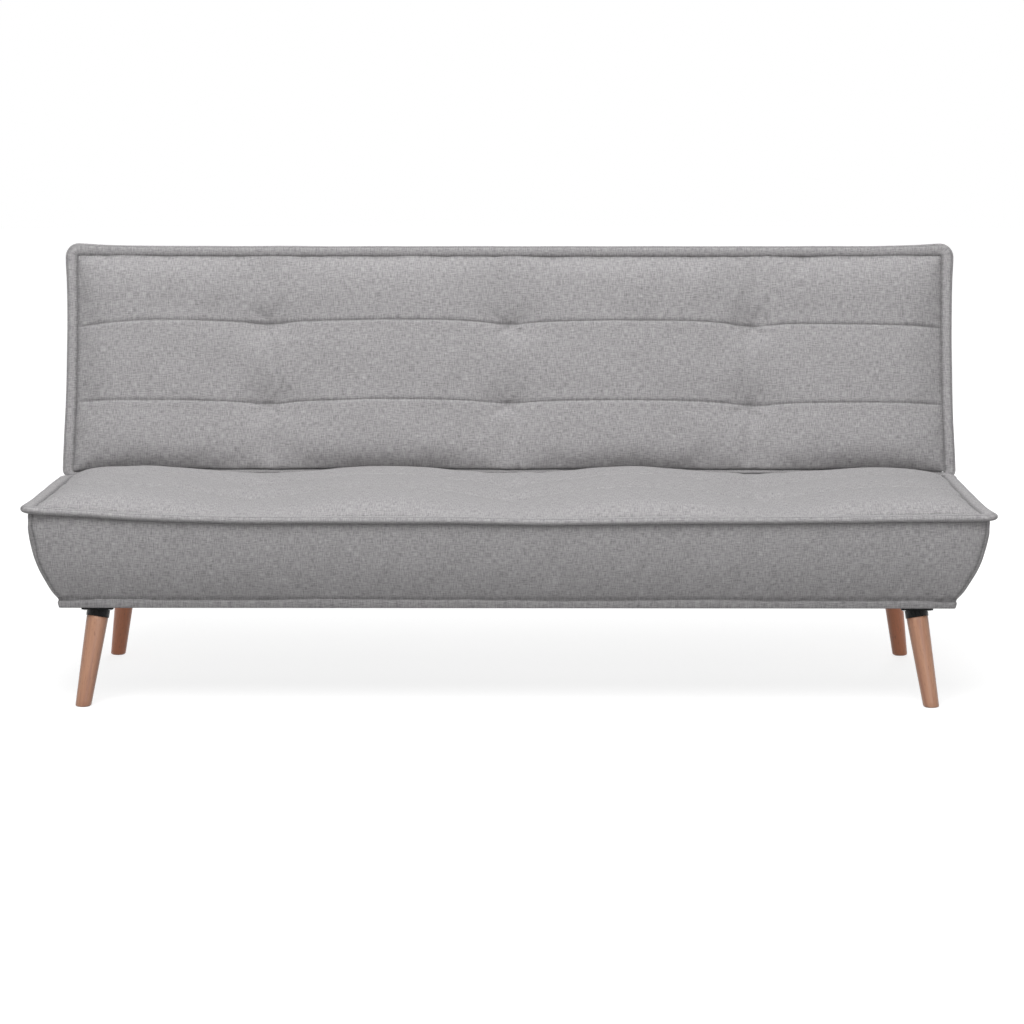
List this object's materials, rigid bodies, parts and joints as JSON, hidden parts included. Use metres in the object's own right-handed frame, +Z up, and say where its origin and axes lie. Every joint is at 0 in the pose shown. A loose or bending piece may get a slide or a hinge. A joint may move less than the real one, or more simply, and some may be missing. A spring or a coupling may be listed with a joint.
{
  "type": "click clack sofa bed",
  "caption": "Armless upholstered sofa bed with a tufted seat and a ratcheting back that folds down flat behind it, on splayed tapered wooden legs with black sockets.",
  "frame": {"origin": "on the floor, at the middle of the whole part's outer box", "axes": "+X along the sofa to the right as seen from in front, +Y to the rear, +Z up"},
  "size_m": [1.82, 1.052, 0.831],
  "materials": {
    "grey_fabric": "matte heathered plain weave",
    "foam": "matte open foam",
    "webbing": "matte elastic webbing",
    "nonwoven": "matte non-woven sheet",
    "pine": "sawn, unfinished",
    "beech": "satin clear lacquer, fine grain",
    "black_metal": "gloss black",
    "zinc_steel": "bright zinc plate",
    "spring_steel": "blued spring steel",
    "glide_plastic": "matte black"
  },
  "bodies": {
    "seat": {"pivot_bolts": "zinc_steel", "pivot_nuts": "zinc_steel", "ratchet_discs": "zinc_steel", "seat_arm_left": "zinc_steel", "seat_arm_right": "zinc_steel", "seat_base_band": "grey_fabric", "seat_centre_rail": "pine", "seat_corner_blocks": "pine", "seat_cushion": "grey_fabric", "seat_dust_cover": "nonwoven", "seat_foam_core": "foam", "seat_front_rail": "pine", "seat_glides": "glide_plastic", "seat_left_bearer": "pine", "seat_left_rail": "pine", "seat_legs": "beech", "seat_rear_rail": "pine", "seat_right_bearer": "pine", "seat_right_rail": "pine", "seat_sewn_edge": "grey_fabric", "seat_sockets": "black_metal", "seat_webbing": "webbing"},
    "backrest": {"back_arm_left": "zinc_steel", "back_arm_right": "zinc_steel", "back_base_band": "grey_fabric", "back_bottom_rail": "pine", "back_centre_rail": "pine", "back_corner_blocks": "pine", "back_cushion": "grey_fabric", "back_dust_cover": "nonwoven", "back_foam_core": "foam", "back_glides": "glide_plastic", "back_left_bearer": "pine", "back_left_rail": "pine", "back_legs": "beech", "back_right_bearer": "pine", "back_right_rail": "pine", "back_sewn_edge": "grey_fabric", "back_sockets": "black_metal", "back_top_rail": "pine", "back_webbing": "webbing", "click_spring_left": "spring_steel", "click_spring_right": "spring_steel"}
  },
  "joints": [
    {"name": "back_fold", "type": "hinge", "parent": "seat", "child": "backrest", "pos_m": [0, 0.06002, 0.357], "axis": [-1, 0, 0], "range_deg": [-8, 75], "deforming": ["click_spring_left", "click_spring_right"]}
  ]
}
